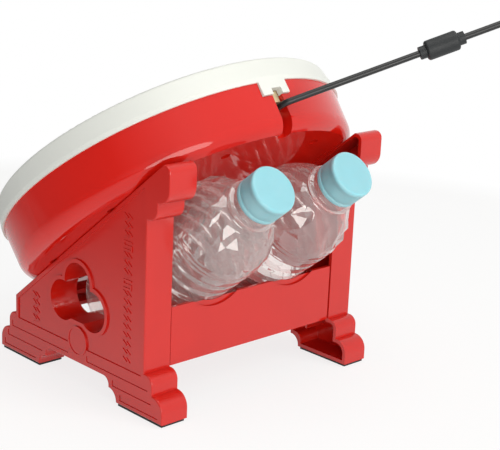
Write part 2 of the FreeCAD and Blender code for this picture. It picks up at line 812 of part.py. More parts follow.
def front_rail():
    """Channel-section rail between the front posts."""
    rail = body("FrontRail", STAND)
    face, wall = FRONT + " + rear_panel_inset", "cradle_wall"
    top = "front_height - panel_recess"
    section = outline(sketch(rail, "YZ_Plane", "0 - " + HALF_INNER), [
        (face, "rail_low"),
        (face + " + rail_depth", "rail_low"),
        (face + " + rail_depth", "rail_low + " + wall),
        (face + " + " + wall, "rail_low + " + wall),
        (face + " + " + wall, top + " - " + wall),
        (face + " + rail_depth", top + " - " + wall),
        (face + " + rail_depth", top),
        (face, top),
    ])
    pad(rail, section, "2 * " + HALF_INNER)
    ears = [
        flange(
            side, face + " + cradle_wall / 2", "rail_low + cradle_wall / 2", "rail_depth + screw_head_radius",
            top + " - rail_low - cradle_wall",
        )
        for side in ("1", "0 - 1")
    ]
    hole, = screw_holes(STAND_SCREWS[2:])
    node(combined("Cut", [combined("MultiFuse", [rail] + ears), hole]), "front_rail")


def stand_screws():
    """Pan-head screws through the flanges into the side frames."""
    screws = body("StandScrews", STAND)
    seat = HALF_INNER + " - flange_wall"
    for y, z in STAND_SCREWS:
        pad(screws, circle(sketch(screws, "YZ_Plane", seat), y, z, "screw_head_radius"), "screw_head", reverse=True)
        pad(screws, circle(sketch(screws, "YZ_Plane", seat), y, z, "screw_radius"), "screw_length")
    node(combined("Compound", [screws, mirrored(screws)]), "stand_screws")


# ---------------------------------------------------------------- bottles


def bottle_corners():
    """Half section of the bottle's outside, from the lip down to the middle of its base."""
    corners = [
        ("neck_radius", "bottle_length"),
        ("neck_radius", "neck_height + collar_height"),
        ("collar_radius", "neck_height + collar_height"),
        ("collar_radius", "neck_height"),
        ("neck_radius + neck_root", "neck_height"),
        ("neck_radius + neck_root", "neck_height - neck_run", "neck_round"),
        ("bottle_radius", "shoulder_height + shoulder_drop", "shoulder_round"),
    ]
    for index in reversed(range(6)):
        middle = "rib_first + %d * rib_pitch" % index
        corners += [
            ("bottle_radius", middle + " + rib_half"),
            ("bottle_radius - rib_depth", middle + " + rib_half - rib_depth"),
            ("bottle_radius - rib_depth", middle + " - rib_half + rib_depth"),
            ("bottle_radius", middle + " - rib_half"),
        ]
    return corners + [
        ("bottle_radius", "0", "bottle_heel"),
        ("bottle_foot_radius", "0"),
        ("bottle_foot_radius - bottle_dimple", "bottle_dimple"),
        ("0", "bottle_dimple"),
    ]


def inset(corner):
    """Matching corner on the bottle's inside."""
    radius, height = corner[:2]
    if height not in ("0", "bottle_dimple"):
        moved = (radius + " - bottle_wall", height)
    elif radius == "bottle_radius":
        moved = (radius + " - bottle_wall", height + " + bottle_wall")
    else:
        moved = (radius + ("" if radius == "0" else " + bottle_wall * tan(22.5)"), height + " + bottle_wall")
    return moved + tuple(text + " - bottle_wall / 2" for text in corner[2:3])


def bottles():
    """Blow-moulded bottles and their screw caps."""
    outside = bottle_corners()
    smooth = [corner for corner in outside if not corner[0].startswith("collar")]
    smooth = [corner for corner in smooth if corner[1] != "neck_height + collar_height"]
    inside = [inset(corner) for corner in smooth]
    bottle = body("Bottle", BOTTLE)
    turned(bottle, "Revolution", outline(sketch(bottle, "XZ_Plane"), outside + inside[::-1]))
    cap = body("Cap", BOTTLE)
    top = "bottle_length + cap_lift + cap_top"
    section = outline(sketch(cap, "XZ_Plane"), [
        ("0", top),
        ("cap_radius", top, "cap_round"),
        ("cap_radius", top + " - cap_height"),
        ("neck_radius + cap_play", top + " - cap_height"),
        ("neck_radius + cap_play", "bottle_length + cap_lift"),
        ("0", "bottle_length + cap_lift"),
    ])
    turned(cap, "Revolution", section)
    for name, item in (("bottle", bottle), ("cap", cap)):
        item.setExpression("Placement.Base.x", linked(HALF_SPACING))
        node(item, name + "_right")
        node(mirrored(item), name + "_left")


# ---------------------------------------------------------------- drum


def polar(owner, radius, angle, z, size_text, kind, length, reverse=False):
    """Round pad or pocket at a radius and angle; the angle is measured from +X."""
    x, y = "(%s) * cos(%s)" % (radius, angle), "(%s) * sin(%s)" % (radius, angle)
    return feature(owner, kind, circle(sketch(owner, "XY_Plane", z), x, y, size_text), length, reverse)


def slab(owner, kind, z, length, x0, x1, y0, y1, reverse=False):
    """Rectangular pad or pocket from a level."""
    shape = outline(sketch(owner, "XY_Plane", z), [(x0, y0), (x1, y0), (x1, y1), (x0, y1)])
    return feature(owner, kind, shape, length, reverse)


FIRST_SCREW = "180 / drum_screws"


def drum_shell():
    """Red bowl: rounded foot, screw bosses, peg sockets, bottle bay and the cable channel."""
    shell = body("DrumShell", DRUM)
    turned(shell, "Revolution", outline(sketch(shell, "XZ_Plane"), [
        ("0", "0"),
        ("drum_foot_radius", "0", "drum_round"),
        ("drum_radius", "shell_height"),
        ("0", "shell_height"),
    ]))
    core = circle(sketch(shell, "XY_Plane", "shell_floor"), "0", "0", "channel_back - channel_wall")
    pocket(shell, core, "shell_height")
    turned(shell, "Groove", outline(sketch(shell, "YZ_Plane"), [
        ("0 - channel_back + channel_wall + spill", "shell_floor"),
        ("0 - drum_foot_radius + shell_wall", "shell_floor", "drum_round - shell_wall"),
        ("0 - drum_radius + shell_wall", "shell_height + spill"),
        ("0 - channel_back + channel_wall + spill", "shell_height + spill"),
    ]), "360 - 2 * channel_block_angle", middle=True)
    boss = polar(
        shell, "drum_screw_circle", FIRST_SCREW, "shell_floor / 2", "drum_boss_radius", "Pad",
        "drum_boss_top - shell_floor / 2",
    )
    ring_pattern(shell, [boss], "drum_screws")
    for side in ("1", "(0 - 1)"):
        for way in ("1", "(0 - 1)"):
            x, y = "%s * (%s + post_width / 2)" % (side, HALF_INNER), way + " * peg_spread"
            socket = circle(sketch(shell, "XY_Plane", "shell_floor / 2"), x, y, "peg_radius + peg_play + shell_wall")
            pad(shell, socket, "peg_height + peg_play - shell_floor / 2 + shell_wall")
            pocket(
                shell, circle(sketch(shell, "XY_Plane", "0"), x, y, "peg_radius + peg_play"), "peg_height + peg_play"
            )
    bore = polar(
        shell, "drum_screw_circle", FIRST_SCREW, "0", "screw_radius + screw_hole_play", "Pocket",
        "drum_boss_top + spill", reverse=True,
    )
    sink = polar(
        shell, "drum_screw_circle", FIRST_SCREW, "0", "screw_head_radius + screw_hole_play / 2", "Pocket",
        "drum_screw_sink", reverse=True,
    )
    ring_pattern(shell, [bore, sink], "drum_screws")
    slab(
        shell, "Pocket", "0", "bay_depth", "0 - %s + bottle_side_room / 2" % HALF_INNER,
        HALF_INNER + " - bottle_side_room / 2", "0 - rim_radius", "rim_radius", reverse=True,
    )
    slab(
        shell, "Pocket", "shell_height - tab_drop", "tab_drop + spill", "tab_left", "tab_right",
        "drum_radius - tab_thick - spill", "rim_radius + spill", reverse=True,
    )
    slab(
        shell, "Pocket", "0 - spill", "shell_height + 2 * spill", "slot_left", "slot_right", "channel_back",
        "rim_radius + spill", reverse=True,
    )
    node(shell, "drum_shell")


def rim_ring():
    """White rim: outer wall, top flange that widens under the controls, bosses, and the outlet tab."""
    rim = body("RimRing", DRUM)
    low, top, under = "shell_height", RIM_TOP, RIM_TOP + " - rim_flange"
    turned(rim, "Revolution", outline(sketch(rim, "XZ_Plane"), [
        ("rim_radius", low),
        ("rim_radius", low + " + rim_flange"),
        ("rim_top_radius + spill", top, "rim_round"),
        ("head_radius + head_play + hoop_wall + board_play", top),
        ("head_radius + head_play + hoop_wall + board_play", under),
        ("rim_top_radius - rim_wall", under),
        ("rim_radius - rim_wall - rim_draft", low),
    ]))
    turned(rim, "Groove", outline(sketch(rim, "YZ_Plane"), [
        ("0 - rim_inner", under + " - spill"),
        ("0 - rim_inner", top + " + spill"),
        ("0 - head_radius - head_play - hoop_wall / 2", top + " + spill"),
        ("0 - head_radius - head_play - hoop_wall / 2", under + " - spill"),
    ]), "360 - 2 * control_half_angle", middle=True)
    boss = polar(
        rim, "rim_screw_circle", FIRST_SCREW, DECK_TOP, "rim_boss_radius", "Pad",
        "%s - rim_flange / 2 - %s" % (RIM_TOP, DECK_TOP),
    )
    pilot = polar(
        rim, "rim_screw_circle", FIRST_SCREW, DECK_TOP, "screw_radius + screw_play", "Pocket",
        "%s - rim_flange - %s" % (RIM_TOP, DECK_TOP), reverse=True,
    )
    ring_pattern(rim, [boss, pilot], "drum_screws")
    slab(
        rim, "Pad", low + " - tab_drop + tab_play", "tab_drop + rim_flange / 2", "tab_left + tab_play",
        "tab_right - tab_play", "drum_radius - tab_thick", "rim_radius + spill",
    )
    turned(rim, "Groove", outline(sketch(rim, "XZ_Plane"), [
        ("rim_radius", low + " - tab_drop"),
        ("rim_radius + 4 * spill", low + " - tab_drop"),
        ("rim_radius + 4 * spill", low + " + rim_flange"),
        ("rim_radius", low + " + rim_flange"),
    ]))
    slab(
        rim, "Pocket", low + " - tab_drop", "tab_drop - slot_drop", "slot_left", "slot_right",
        "channel_back", "rim_radius + 2 * spill", reverse=True,
    )
    control_openings(rim)
    node(rim, "rim_ring")


def cross_corners(grow="0"):
    """Plus-shaped outline round the direction pad's centre."""
    x0 = "(0 - control_circle * sin(pad_angle))"
    y0 = "(control_circle * cos(pad_angle))"
    long, short = "(cross_span / 2 + %s)" % grow, "(cross_arm / 2 + %s)" % grow
    steps = [
        (long, "0 - " + short), (long, short), (short, short), (short, long), ("0 - " + short, long),
        ("0 - " + short, short), ("0 - " + long, short), ("0 - " + long, "0 - " + short),
        ("0 - " + short, "0 - " + short), ("0 - " + short, "0 - " + long), (short, "0 - " + long),
        (short, "0 - " + short),
    ]
    return [("%s + %s" % (x0, dx), "%s + %s" % (y0, dy)) for dx, dy in steps]


def action_spot(dx, dy):
    return (
        "control_circle * sin(pad_angle) + (%s) * button_offset" % dx,
        "control_circle * cos(pad_angle) + (%s) * button_offset" % dy,
    )


def small_spot(steps, side):
    angle = "(90 + %s * (small_first + %s * small_step))" % (side, steps)
    return ("control_circle * cos%s" % angle, "control_circle * sin%s" % angle)


ACTION_BUTTONS = {
    "button_right": action_spot("1", "0"),
    "button_top": action_spot("0", "1"),
    "button_left": action_spot("0 - 1", "0"),
    "button_bottom": action_spot("0", "0 - 1"),
}
SMALL_BUTTONS = {
    "minus_button": small_spot("1", "1"),
    "capture_button": small_spot("0", "1"),
    "home_button": small_spot("0", "(0 - 1)"),
    "plus_button": small_spot("1", "(0 - 1)"),
}


def control_openings(rim):
    """Holes in the rim's flange for the direction pad and the buttons."""
    level, through = RIM_TOP + " - rim_flange - spill", "rim_flange + 2 * spill"
    pocket(rim, outline(sketch(rim, "XY_Plane", level), cross_corners("button_play")), through)
    for spots, radius in ((ACTION_BUTTONS, "button_radius"), (SMALL_BUTTONS, "small_radius")):
        for x, y in spots.values():
            pocket(rim, circle(sketch(rim, "XY_Plane", level), x, y, radius + " + button_play"), through)


def buttons():
    """Direction pad, action buttons and small buttons, each with a flange that keeps it in."""
    under = RIM_TOP + " - rim_flange - button_play"
    low = under + " - button_flange_height"
    tall = "rim_flange + button_play + button_flange_height + button_proud"
    cross = body("DirectionPad", DRUM)
    pad(cross, outline(sketch(cross, "XY_Plane", low), cross_corners()), tall)
    pad(cross, outline(sketch(cross, "XY_Plane", low), cross_corners("button_flange")), "button_flange_height")
    node(cross, "direction_pad")
    for spots, radius in ((ACTION_BUTTONS, "button_radius"), (SMALL_BUTTONS, "small_radius")):
        for name, (x, y) in spots.items():
            button = body("Button", DRUM)
            pad(button, circle(sketch(button, "XY_Plane", low), x, y, radius), tall)
            flange_disc = circle(sketch(button, "XY_Plane", low), x, y, radius + " + button_flange")
            pad(button, flange_disc, "button_flange_height")
            node(button, name)


def arc_plate(name, z, thickness, inner, outer):
    """Plate in the shape of the control sector, between two radii."""
    plate = body("ArcPlate", DRUM)
    section = outline(sketch(plate, "YZ_Plane"), [
        (inner, z), (outer, z), (outer, z + " + " + thickness), (inner, z + " + " + thickness),
    ])
    turned(plate, "Revolution", section, "2 * (control_half_angle - board_end_angle)", middle=True)
    if inner == "board_inner":
        for way in ("1", "(0 - 1)"):
            angle = "(90 + %s * 180 / drum_screws)" % way
            polar(
                plate, "rim_screw_circle", angle, z, "drum_boss_radius + board_play", "Pocket",
                thickness, reverse=True,
            )
    node(plate, name)


def deck_and_electronics():
    """Deck inside the drum, its foam rings and sensors, the circuit board and the rubber membrane."""
    deck = body("Deck", DRUM)
    top = DECK_TOP
    hoop = "head_radius + head_play"
    turned(deck, "Revolution", outline(sketch(deck, "XZ_Plane"), [
        ("deck_bore", "deck_height"),
        ("rim_top_radius - rim_wall - spill", "deck_height"),
        ("rim_top_radius - rim_wall - spill", top),
        (hoop + " + hoop_wall", top),
        (hoop + " + hoop_wall", RIM_TOP + " - head_sink - travel"),
        (hoop, RIM_TOP + " - head_sink - travel"),
        (hoop, top),
        ("deck_bore", top),
    ]))
    boss = polar(
        deck, "drum_screw_circle", FIRST_SCREW, "drum_boss_top", "drum_boss_radius", "Pad",
        "deck_height + deck_plate / 2 - drum_boss_top",
    )
    pilot = polar(
        deck, "drum_screw_circle", FIRST_SCREW, "drum_boss_top", "screw_radius + screw_play", "Pocket",
        "deck_height - drum_boss_top", reverse=True,
    )
    hole = polar(
        deck, "rim_screw_circle", FIRST_SCREW, "deck_height", "screw_radius + screw_hole_play", "Pocket",
        "deck_plate", reverse=True,
    )
    ring_pattern(deck, [boss, pilot, hole], "drum_screws")
    node(deck, "inner_deck")
    for name, inner, outer in (
        ("head_foam", "head_radius - foam_inset - foam_width", "head_radius - foam_inset"),
        ("edge_foam", "rim_inner - edge_foam_inset - edge_foam_width", "rim_inner - edge_foam_inset"),
    ):
        foam = body("Foam", DRUM)
        turned(foam, "Revolution", outline(sketch(foam, "YZ_Plane"), [
            ("0 - (%s)" % outer, top), ("0 - (%s)" % inner, top),
            ("0 - (%s)" % inner, top + " + foam"), ("0 - (%s)" % outer, top + " + foam"),
        ]), "360 - 2 * (control_half_angle + foam_end_angle)" if name == "edge_foam" else "360", middle=True)
        node(foam, name)
    discs = []
    for angle in ("0", "180"):
        disc = body("Sensor", DRUM)
        polar(disc, "sensor_circle", angle, top, "sensor_radius", "Pad", "sensor_height")
        discs.append(disc)
    node(combined("Compound", discs), "sensor_discs")
    arc_plate("circuit_board", "board_height", "board_plate", "board_inner", "board_outer")
    arc_plate("button_membrane", "board_height + board_plate", "membrane_plate", "board_inner", "board_outer - membrane_inset")


def head():
    """The struck surfaces: two halves of the head and two halves of the edge zone round it."""
    bottom = RIM_TOP + " - head_sink - head_thickness"
    top = RIM_TOP + " - head_sink"
    split = "head_play"
    for side, sign in (("right", "1"), ("left", "(0 - 1)")):
        half = body("HeadHalf", DRUM)
        turned(half, "Revolution", outline(sketch(half, "XZ_Plane"), [
            ("0", bottom),
            ("head_radius", bottom),
            ("head_radius", top + " - head_dome", "head_dome"),
            ("0", top),
        ]))
        reach = "rim_radius"
        x0, x1 = ("0 - " + reach, split) if side == "right" else ("0 - " + split, reach)
        slab(half, "Pocket", bottom + " - spill", "head_thickness + 2 * spill", x0, x1, "0 - " + reach, reach, reverse=True)
        node(half, "head_" + side)
    inner, outer = "head_radius + head_play + hoop_wall + head_play", "rim_inner - head_play"
    sweep = "(180 - control_half_angle - spill)"
    for side in ("right", "left"):
        zone = body("EdgeHalf", DRUM)
        turned(zone, "Revolution", outline(sketch(zone, "YZ_Plane"), [
            ("0 - (%s)" % outer, bottom),
            ("0 - (%s)" % inner, bottom),
            ("0 - (%s)" % inner, top, "head_dome"),
            ("0 - (%s)" % outer, top, "head_dome"),
        ]), "2 * " + sweep, middle=True)
        reach = "rim_radius"
        x0, x1 = ("0 - " + reach, split) if side == "right" else ("0 - " + split, reach)
        slab(zone, "Pocket", bottom + " - spill", "head_thickness + 2 * spill", x0, x1, "0 - " + reach, reach, reverse=True)
        node(zone, "edge_" + side)


def screw_ring(name, radius, seat, length):
    """Ring of screws whose heads lie under a level and whose shanks run up from it."""
    screws = body("Screws", DRUM)
    shank = polar(screws, radius, FIRST_SCREW, seat, "screw_radius", "Pad", length)
    head_disc = polar(screws, radius, FIRST_SCREW, seat, "screw_head_radius", "Pad", "screw_head", reverse=True)
    ring_pattern(screws, [shank, head_disc], "drum_screws")
    node(screws, name)


# ---------------------------------------------------------------- cable


def strain_relief():
    """Grommet in the outlet's slot, with a low nose that the cable comes out of."""
    relief = body("StrainRelief", DRUM)
    x0, x1 = "slot_left + relief_play", "slot_right - relief_play"
    back = "channel_back"
    slab(
        relief, "Pad", "relief_shelf", "shell_height - slot_drop - relief_shelf - relief_play", x0, x1, back,
        back + " + relief_face",
    )
    slab(relief, "Pad", "relief_low", "relief_shelf - relief_low", x0, x1, back, back + " + relief_nose")
    face = "0 - channel_back - relief_face - spill"
    bore = circle(
        sketch(relief, "XZ_Plane", face), "outlet_across", "outlet_height", "cable_radius + cable_bore_play"
    )
    pocket(relief, bore, "relief_face + 2 * spill")
    node(relief, "strain_relief")


def cable_points():
    """Route's points, measured from the outlet's mouth in the drum."""
    lift, rise, turn = DRUM
    out, up = "(channel_back + relief_play / 2)", "outlet_height"
    mouth = FreeCAD.Vector(
        size("outlet_across"),
        size("%s + %s * cos(%s) - %s * sin(%s)" % (lift, out, turn, up, turn)),
        size("%s + %s * sin(%s) + %s * cos(%s)" % (rise, out, turn, up, turn)),
    )
    return [mouth + FreeCAD.Vector(*step) for step in CABLE_ROUTE]


def cable_curve():
    """Straight runs joined by an arc that is tangent to both."""
    points = cable_points()
    edges, start = [], points[0]
    for before, here, after in zip(points, points[1:], points[2:]):
        towards, away = (before - here).normalize(), (after - here).normalize()
        half = towards.getAngle(away) / 2
        tangent = 0.45 * min((before - here).Length, (after - here).Length)
        radius = tangent * math.tan(half)
        centre = here + (towards + away).normalize() * (radius / math.sin(half))
        middle = centre + (here - centre).normalize() * radius
        arrive, leave = here + towards * tangent, here + away * tangent
        edges += [Part.LineSegment(start, arrive).toShape(), Part.Arc(arrive, middle, leave).toShape()]
        print("cable bend radius %.1f mm" % radius)
        start = leave
    edges.append(Part.LineSegment(start, points[-1]).toShape())
    return Part.Wire(edges)


def cable_place(distance):
    """Placement on the straight run, a distance past the bend, with +Z along the cable."""
    start, stop = cable_points()[-2:]
    way = (stop - start).normalize()
    return FreeCAD.Placement(start + way * distance, FreeCAD.Rotation(FreeCAD.Vector(0, 0, 1), way))


def cable_parts():
    """Cable, ferrite core and plug."""
    cable = doc.addObject("Part::Feature", "Cable")
    path = cable_curve()
    start = path.Edges[0].Vertexes[0].Point
    way = path.Edges[0].tangentAt(path.Edges[0].FirstParameter)
    ring = Part.Wire([Part.makeCircle(size("cable_radius"), start, way)])
    cable.Shape = path.makePipeShell([ring], True, False)
    node(cable, "usb_cable")
    core = doc.addObject("Part::Feature", "FerriteCore")
    collar, length = size("ferrite_collar"), size("ferrite_length")
    bore = size("cable_radius + cable_bore_play")
    barrel = Part.makeCylinder(size("ferrite_radius"), length - 2 * collar, FreeCAD.Vector(0, 0, collar))
    barrel = barrel.makeFillet(size("ferrite_radius") / 4, [edge for edge in barrel.Edges if edge.Closed])
    sleeve = Part.makeCylinder(size("ferrite_collar_radius"), length)
    core.Shape = barrel.fuse(sleeve).cut(Part.makeCylinder(bore, length)).removeSplitter()
    core.Placement = cable_place(size("ferrite_start"))
    node(core, "ferrite_core")
    bend, last = cable_points()[-2:]
    end = (last - bend).Length
    plug = doc.addObject("Part::Feature", "PlugBody")
    wide, thick = size("plug_width"), size("plug_height")
    block = Part.makeBox(wide, thick, size("plug_length"), FreeCAD.Vector(-wide / 2, -thick / 2, 0))
    long_edges = [edge for edge in block.Edges if abs(edge.Length - size("plug_length")) < 1e-6]
    plug.Shape = block.makeFillet(thick / 4, long_edges)
    plug.Placement = cable_place(end)
    node(plug, "usb_plug_body")
    shell = doc.addObject("Part::Feature", "PlugShell")
    wide, thick, wall = size("plug_shell_width"), size("plug_shell_height"), size("plug_shell_wall")
    long = size("plug_shell_length")
    outer = Part.makeBox(wide, thick, long, FreeCAD.Vector(-wide / 2, -thick / 2, 0))
    inner = Part.makeBox(
        wide - 2 * wall, thick / 2 - wall, long, FreeCAD.Vector(wall - wide / 2, 0, 1)
    )
    shell.Shape = outer.cut(inner)
    shell.Placement = cable_place(end + size("plug_length"))
    node(shell, "usb_plug_shell")


def write_parts():
    """Checks every object and writes one STEP file for each node."""
    doc.recompute()
    failed = [item.Name for item in doc.Objects if {"Invalid", "Error"} & set(item.State)]
    if failed:
        raise RuntimeError("failed objects: " + ", ".join(failed))
    os.makedirs("parts", exist_ok=True)
    for item in NODES:
        if item.Shape.isNull() or not item.Shape.isValid() or not item.Shape.Solids:
            raise RuntimeError("bad shape: " + item.Label)
        item.Shape.exportStep("parts/%s.step" % item.Label)


side_frames()
foot_pads()
bottle_cradle()
front_rail()
stand_screws()
bottles()
drum_shell()
rim_ring()
buttons()
deck_and_electronics()
head()
screw_ring("drum_screws", "drum_screw_circle", "drum_screw_sink", "drum_screw_length")
screw_ring("rim_screws", "rim_screw_circle", "deck_height", "rim_screw_length")
strain_relief()
cable_parts()
write_parts()
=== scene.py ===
import json
import math
import random

import bmesh
import bpy
from mathutils import Matrix, Vector


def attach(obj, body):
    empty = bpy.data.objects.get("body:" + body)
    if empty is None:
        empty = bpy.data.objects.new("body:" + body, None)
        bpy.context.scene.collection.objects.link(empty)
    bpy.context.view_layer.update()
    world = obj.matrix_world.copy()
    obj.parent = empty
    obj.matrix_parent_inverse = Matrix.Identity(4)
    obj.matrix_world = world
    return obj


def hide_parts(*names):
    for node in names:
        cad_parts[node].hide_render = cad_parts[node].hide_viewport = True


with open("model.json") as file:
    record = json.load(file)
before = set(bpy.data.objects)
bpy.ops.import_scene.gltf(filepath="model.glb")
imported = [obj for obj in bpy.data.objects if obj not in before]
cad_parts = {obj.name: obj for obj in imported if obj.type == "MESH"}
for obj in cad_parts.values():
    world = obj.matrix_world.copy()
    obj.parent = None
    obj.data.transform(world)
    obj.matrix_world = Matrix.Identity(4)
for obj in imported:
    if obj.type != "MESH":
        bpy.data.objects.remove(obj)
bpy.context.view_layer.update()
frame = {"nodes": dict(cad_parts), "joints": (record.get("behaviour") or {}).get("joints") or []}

MM = 0.001
JOINTS = {joint["name"]: joint for joint in frame["joints"]}


# ---------------------------------------------------------------- camera and cable

CAMERA_PLACE = (0.55526, 0.62914, 0.32966)
CAMERA_TURN = (44.09, 15.8, 2.51)
SENSOR_MM, LENS_MM = 36, 96.25


def set_camera():
    """Camera behind the stand and to its right, a little above it."""
    yaw, pitch, roll = (math.radians(angle) for angle in CAMERA_TURN)
    forward = Vector((
        -math.sin(yaw) * math.cos(pitch), -math.cos(yaw) * math.cos(pitch), -math.sin(pitch),
    ))
    level = Vector((-math.cos(yaw), math.sin(yaw), 0))
    upright = level.cross(forward)
    right = math.cos(roll) * level + math.sin(roll) * upright
    up = math.cos(roll) * upright - math.sin(roll) * level
    turn = Matrix((right, up, -forward)).transposed().to_4x4()
    lens = bpy.data.cameras.new("Camera")
    lens.sensor_width = SENSOR_MM
    lens.lens = LENS_MM
    camera = bpy.data.objects.new("Camera", lens)
    camera.matrix_world = Matrix.Translation(CAMERA_PLACE) @ turn
    bpy.context.collection.objects.link(camera)
    bpy.context.scene.camera = camera


CABLE_DIAMETER, CABLE_LENGTH = 0.004, 0.162
CABLE_ROUTE = [
    (0.00440, 0.07294, 0.17719),
    (0.00440, 0.08205, 0.18444),
    (-0.00417, 0.08865, 0.18875),
    (-0.10598, 0.16709, 0.23998),
]


def make_cable():
    """Round cable, out of the drum's outlet, round one bend and away as a taut line."""
    curve = bpy.data.curves.new("cable", "CURVE")
    curve.dimensions = "3D"
    curve.bevel_depth = 1  # a metre, which each point's radius scales down
    curve.bevel_resolution = 6
    curve.resolution_u = 24
    curve.use_fill_caps = True
    line = curve.splines.new("NURBS")
    line.points.add(len(CABLE_ROUTE) - 1)
    for point, place in zip(line.points, CABLE_ROUTE):
        point.co = (*place, 1)
        point.radius = CABLE_DIAMETER / 2
    line.order_u = 3
    line.use_endpoint_u = True
    cable = bpy.data.objects.new("cable", curve)
    bpy.context.collection.objects.link(cable)
    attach(cable, "drum")
    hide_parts("usb_cable")
    return cable


# ---------------------------------------------------------------- materials

NOISE_LOW, NOISE_HIGH = 0.3, 0.7  # nearly all of a noise texture lies between these


def linear(hex_colour):
    """Linear colour of an sRGB hex colour."""
    channels = [int(hex_colour[start:start + 2], 16) / 255 for start in (0, 2, 4)]
    return [c / 12.92 if c <= 0.04045 else ((c + 0.055) / 1.055) ** 2.4 for c in channels] + [1.0]


def add_node(tree, kind, settings=None, inputs=None):
    """Adds a node. An input is a plain value or another node's output."""
    made = tree.nodes.new(kind)
    for key, value in (settings or {}).items():
        setattr(made, key, value)
    for key, value in (inputs or {}).items():
        if isinstance(value, bpy.types.NodeSocket):
            tree.links.new(value, made.inputs[key])
        else:
            made.inputs[key].default_value = value
    return made


def start_material(name, **values):
    """New material, its tree, its shader with plain values set, and object coordinates."""
    material = bpy.data.materials.new(name)
    material.use_nodes = True
    tree = material.node_tree
    shader = tree.nodes["Principled BSDF"]
    for key, value in values.items():
        shader.inputs[key.replace("_", " ")].default_value = value
    place = add_node(tree, "ShaderNodeTexCoord").outputs["Object"]
    return material, tree, shader, place


def vary(tree, shader, place, dark, pale, size, rough):
    """Slow drift of colour and of roughness over patches of the given size in metres."""
    patches = add_node(tree, "ShaderNodeTexNoise", inputs={
        "Vector": place, "Scale": 1 / size, "Detail": 3.0,
    })
    tint = add_node(tree, "ShaderNodeMix", {"data_type": "RGBA"}, {
        "Factor": patches.outputs["Fac"], "A": linear(dark), "B": linear(pale),
    })
    tree.links.new(tint.outputs["Result"], shader.inputs["Base Color"])
    gloss = add_node(tree, "ShaderNodeMapRange", inputs={
        "Value": patches.outputs["Fac"], "From Min": NOISE_LOW, "From Max": NOISE_HIGH,
        "To Min": rough[0], "To Max": rough[1],
    })
    tree.links.new(gloss.outputs["Result"], shader.inputs["Roughness"])


def emboss(tree, shader, height, **values):
    """Turns a pattern's height into relief on the shader."""
    relief = add_node(tree, "ShaderNodeBump", inputs={"Height": height, **values})
    tree.links.new(relief.outputs["Normal"], shader.inputs["Normal"])


def grain(tree, shader, place, size, depth):
    """Fine relief of the given size and depth in metres."""
    bumps = add_node(tree, "ShaderNodeTexNoise", inputs={
        "Vector": place, "Scale": 1 / size, "Detail": 2.0,
    })
    emboss(tree, shader, bumps.outputs["Fac"], Distance=depth, Strength=1.0)


def set_surface(tree, output):
    """Makes a shader's output the material's surface."""
    tree.links.new(output, tree.nodes["Material Output"].inputs["Surface"])


def polished_red_abs():
    """ABS from a polished mould: mirror-like gloss with a very faint waviness."""
    material, tree, shader, place = start_material(
        "Polished red ABS", IOR=1.54, Specular_IOR_Level=0.42,
    )
    vary(tree, shader, place, "c6180e", "cd1b11", 0.05, (0.03, 0.06))
    grain(tree, shader, place, 0.012, 0.00003)
    return material


def moulded_red_abs():
    """ABS from a plain mould: glossy, softened by handling, with slight sink waviness."""
    material, tree, shader, place = start_material("Moulded red ABS", IOR=1.54)
    vary(tree, shader, place, "c2190f", "cc1d13", 0.03, (0.1, 0.18))
    grain(tree, shader, place, 0.006, 0.00002)
    return material


def moulded_white_abs():
    """Opaque white ABS, smooth, with a soft sheen."""
    material, tree, shader, place = start_material("Moulded white ABS", IOR=1.54)
    vary(tree, shader, place, "dbded8", "dddfda", 0.04, (0.42, 0.48))
    grain(tree, shader, place, 0.004, 0.000012)
    return material


def ivory_elastomer():
    """Soft elastomer skin with a fine leather grain, 900 cells to the metre, that keeps it dull."""
    material, tree, shader, place = start_material("Ivory elastomer", IOR=1.5)
    vary(tree, shader, place, "dcd6c2", "e6e1d0", 0.02, (0.5, 0.62))
    cells = add_node(tree, "ShaderNodeTexVoronoi", {"feature": "DISTANCE_TO_EDGE"}, {
        "Vector": place, "Scale": 900.0,
    })
    emboss(tree, shader, cells.outputs["Distance"], Distance=0.00006)
    return material


def black_rubber():
    """Moulded rubber, dull, with a dusty bloom."""
    material, tree, shader, place = start_material("Black rubber", IOR=1.5)
    vary(tree, shader, place, "161617", "222223", 0.006, (0.7, 0.85))
    grain(tree, shader, place, 0.0008, 0.00004)
    return material


def cable_jacket():
    """Flexible PVC jacket, satin black."""
    material, tree, shader, place = start_material("Black PVC jacket", IOR=1.53)
    vary(tree, shader, place, "0f1011", "161718", 0.01, (0.3, 0.4))
    grain(tree, shader, place, 0.0015, 0.00002)
    return material


def ferrite_case():
    """Moulded PVC over a ferrite, matt with a fine spark texture."""
    material, tree, shader, place = start_material("Matt black PVC", IOR=1.53)
    vary(tree, shader, place, "101416", "181c1e", 0.004, (0.5, 0.6))
    grain(tree, shader, place, 0.0006, 0.00005)
    return material


def beige_nylon():
    """Moulded nylon, uncoloured beige, satin."""
    material, tree, shader, place = start_material("Beige nylon", IOR=1.53)
    vary(tree, shader, place, "c7b48c", "d4c29c", 0.004, (0.4, 0.5))
    grain(tree, shader, place, 0.0007, 0.00002)
    return material


